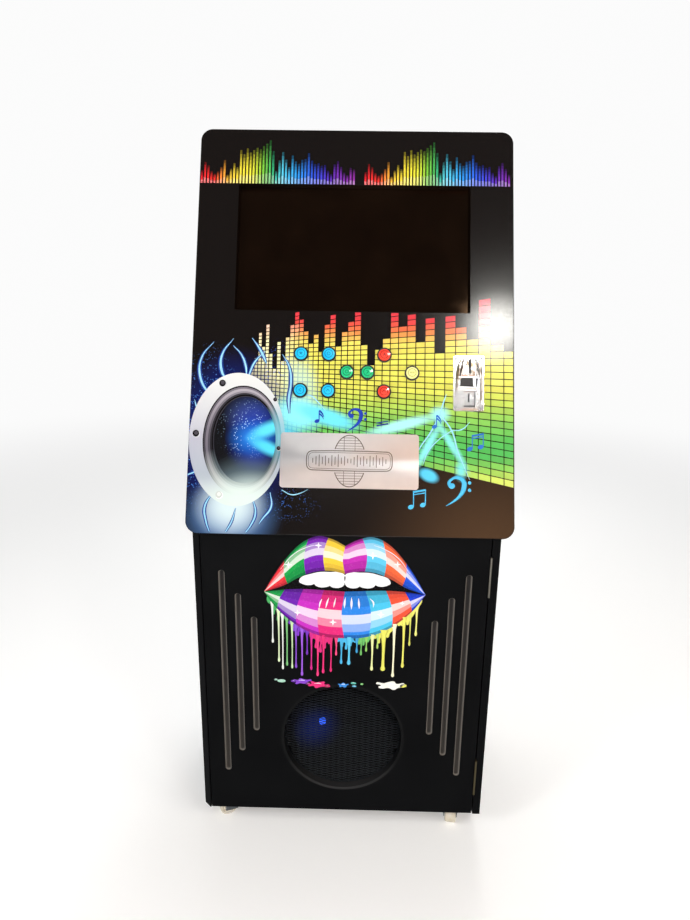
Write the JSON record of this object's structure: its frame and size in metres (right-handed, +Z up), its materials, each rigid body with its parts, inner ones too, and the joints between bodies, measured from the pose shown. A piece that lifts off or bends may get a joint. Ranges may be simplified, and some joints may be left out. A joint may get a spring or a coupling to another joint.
{
  "type": "coin-operated jukebox cabinet",
  "caption": "Floor-standing coin-operated jukebox cabinet on castors, with a leaning printed front board, screen, coloured push buttons, coin slot and hinged speaker door.",
  "frame": {"origin": "on the floor under the middle of the cabinet", "axes": "+Z up, +X to the right of somebody facing the front, and the front faces -Y"},
  "size_m": [0.72, 0.4796, 1.6807],
  "materials": {
    "board_black": "black satin laminate on MDF",
    "front_print": "glossy printed vinyl",
    "steel_brushed": "brushed",
    "chrome": "polished",
    "zinc": "zinc plated",
    "hinge_metal": "nickel and brass plated",
    "black_plastic": "moulded",
    "screen_glass": "glossy black screen",
    "cap_blue": "translucent",
    "cap_green": "translucent",
    "cap_red": "translucent",
    "cap_yellow": "translucent",
    "grille_black": "black powder coat",
    "paper_cone": "coated paper cone",
    "rubber_black": "rubber",
    "magnet_black": "ferrite",
    "wheel_nylon": "milky nylon",
    "lamp_blue": "blue lens",
    "case_grey": "painted steel case",
    "switch_red": "red rocker"
  },
  "bodies": {
    "cabinet": {"amplifier": "case_grey", "back_panel": "board_black", "back_panel_screws": "zinc", "base_board": "board_black", "button_bezels": "black_plastic", "button_nuts": "black_plastic", "button_switches": "black_plastic", "cash_box": "case_grey", "castor_plates": "zinc", "castor_screws": "zinc", "coin_chute": "case_grey", "coin_faceplate": "chrome", "coin_mechanism": "case_grey", "coin_plate_screws": "zinc", "computer": "case_grey", "front_panel": "front_print", "header_rail": "board_black", "hinge_frame_leaves": "hinge_metal", "hinge_pins": "hinge_metal", "lock_housing": "zinc", "monitor_brackets": "zinc", "monitor_housing": "black_plastic", "monitor_screen": "screen_glass", "name_plate": "steel_brushed", "power_inlet": "black_plastic", "shelf": "board_black", "side_panel_left": "board_black", "side_panel_right": "board_black", "top_board": "board_black"},
    "door": {"door_panel": "board_black", "speaker_grille": "grille_black", "woofer_basket": "grille_black", "woofer_magnet": "magnet_black", "woofer_surround": "rubber_black", "woofer_bolts": "zinc", "door_lamp": "lamp_blue", "hinge_door_leaves": "hinge_metal", "door_keeper": "zinc"},
    "woofer_cone": {"woofer_cone": "paper_cone"},
    "coin_reject_button": {"coin_reject_button": "black_plastic"},
    "coin_return_flap": {"coin_return_flap": "chrome"},
    "lock_plug": {"lock_plug": "zinc"},
    "power_switch": {"power_switch": "switch_red"},
    "button_blue_one": {"button_blue_one": "cap_blue"},
    "button_blue_two": {"button_blue_two": "cap_blue"},
    "button_blue_three": {"button_blue_three": "cap_blue"},
    "button_blue_four": {"button_blue_four": "cap_blue"},
    "button_green_one": {"button_green_one": "cap_green"},
    "button_green_two": {"button_green_two": "cap_green"},
    "button_red_one": {"button_red_one": "cap_red"},
    "button_red_two": {"button_red_two": "cap_red"},
    "button_yellow_one": {"button_yellow_one": "cap_yellow"},
    "castor_front_left": {"castor_fork_front_left": "zinc"},
    "wheel_front_left": {"castor_wheel_front_left": "wheel_nylon"},
    "castor_front_right": {"castor_fork_front_right": "zinc"},
    "wheel_front_right": {"castor_wheel_front_right": "wheel_nylon"},
    "castor_rear_left": {"castor_fork_rear_left": "zinc"},
    "wheel_rear_left": {"castor_wheel_rear_left": "wheel_nylon"},
    "castor_rear_right": {"castor_fork_rear_right": "zinc"},
    "wheel_rear_right": {"castor_wheel_rear_right": "wheel_nylon"}
  },
  "joints": [
    {"name": "door_hinge", "type": "hinge", "parent": "cabinet", "child": "door", "pos_m": [0.319, -0.2127, 0.43], "axis": [0, 0, 1], "range_deg": [0, 105]},
    {"name": "woofer_travel", "type": "slide", "parent": "door", "child": "woofer_cone", "axis": [0, -1, 0], "range_m": [-0.003, 0.003], "stiffness_N_per_m": 3000, "deforming": ["woofer_surround"]},
    {"name": "press_blue_one", "type": "slide", "parent": "cabinet", "child": "button_blue_one", "axis": [0, 0.9304, -0.3665], "range_m": [0, 0.003], "stiffness_N_per_m": 300, "springref_m": -0.002},
    {"name": "press_blue_two", "type": "slide", "parent": "cabinet", "child": "button_blue_two", "axis": [0, 0.9304, -0.3665], "range_m": [0, 0.003], "stiffness_N_per_m": 300, "springref_m": -0.002},
    {"name": "press_blue_three", "type": "slide", "parent": "cabinet", "child": "button_blue_three", "axis": [0, 0.9304, -0.3665], "range_m": [0, 0.003], "stiffness_N_per_m": 300, "springref_m": -0.002},
    {"name": "press_blue_four", "type": "slide", "parent": "cabinet", "child": "button_blue_four", "axis": [0, 0.9304, -0.3665], "range_m": [0, 0.003], "stiffness_N_per_m": 300, "springref_m": -0.002},
    {"name": "press_green_one", "type": "slide", "parent": "cabinet", "child": "button_green_one", "axis": [0, 0.9304, -0.3665], "range_m": [0, 0.003], "stiffness_N_per_m": 300, "springref_m": -0.002},
    {"name": "press_green_two", "type": "slide", "parent": "cabinet", "child": "button_green_two", "axis": [0, 0.9304, -0.3665], "range_m": [0, 0.003], "stiffness_N_per_m": 300, "springref_m": -0.002},
    {"name": "press_red_one", "type": "slide", "parent": "cabinet", "child": "button_red_one", "axis": [0, 0.9304, -0.3665], "range_m": [0, 0.003], "stiffness_N_per_m": 300, "springref_m": -0.002},
    {"name": "press_red_two", "type": "slide", "parent": "cabinet", "child": "button_red_two", "axis": [0, 0.9304, -0.3665], "range_m": [0, 0.003], "stiffness_N_per_m": 300, "springref_m": -0.002},
    {"name": "press_yellow_one", "type": "slide", "parent": "cabinet", "child": "button_yellow_one", "axis": [0, 0.9304, -0.3665], "range_m": [0, 0.003], "stiffness_N_per_m": 300, "springref_m": -0.002},
    {"name": "press_coin_reject", "type": "slide", "parent": "cabinet", "child": "coin_reject_button", "axis": [0, 0.9304, -0.3665], "range_m": [0, 0.004], "stiffness_N_per_m": 300, "springref_m": -0.002},
    {"name": "coin_flap_swing", "type": "hinge", "parent": "cabinet", "child": "coin_return_flap", "pos_m": [0.2597, -0.12046, 1.11461], "axis": [1, 0, 0], "range_deg": [0, 50], "stiffness_Nm_per_rad": 0.02, "springref_deg": -28.65},
    {"name": "lock_turn", "type": "hinge", "parent": "cabinet", "child": "lock_plug", "pos_m": [-0.354, -0.15, 0.462], "axis": [1, 0, 0], "range_deg": [0, 90]},
    {"name": "mains_rocker", "type": "hinge", "parent": "cabinet", "child": "power_switch", "pos_m": [-0.208, 0.2315, 0.2], "axis": [1, 0, 0], "range_deg": [-20, 0]},
    {"name": "swivel_front_left", "type": "hinge", "parent": "cabinet", "child": "castor_front_left", "pos_m": [-0.291, -0.148, 0.05], "axis": [0, 0, 1], "continuous": true},
    {"name": "roll_front_left", "type": "hinge", "parent": "castor_front_left", "child": "wheel_front_left", "pos_m": [-0.30584, -0.15399, 0.022], "axis": [-0.3746, 0.9272, 0], "continuous": true},
    {"name": "swivel_front_right", "type": "hinge", "parent": "cabinet", "child": "castor_front_right", "pos_m": [0.275, -0.148, 0.05], "axis": [0, 0, 1], "continuous": true},
    {"name": "roll_front_right", "type": "hinge", "parent": "castor_front_right", "child": "wheel_front_right", "pos_m": [0.27277, -0.16384, 0.022], "axis": [-0.9903, 0.1392, 0], "continuous": true},
    {"name": "swivel_rear_left", "type": "hinge", "parent": "cabinet", "child": "castor_rear_left", "pos_m": [-0.291, 0.19, 0.05], "axis": [0, 0, 1], "continuous": true},
    {"name": "roll_rear_left", "type": "hinge", "parent": "castor_rear_left", "child": "wheel_rear_left", "pos_m": [-0.28424, 0.2045, 0.022], "axis": [0.9063, -0.4226, 0], "continuous": true},
    {"name": "swivel_rear_right", "type": "hinge", "parent": "cabinet", "child": "castor_rear_right", "pos_m": [0.275, 0.19, 0.05], "axis": [0, 0, 1], "continuous": true},
    {"name": "roll_rear_right", "type": "hinge", "parent": "castor_rear_right", "child": "wheel_rear_right", "pos_m": [0.27086, 0.20545, 0.022], "axis": [0.9659, 0.2588, 0], "continuous": true}
  ]
}
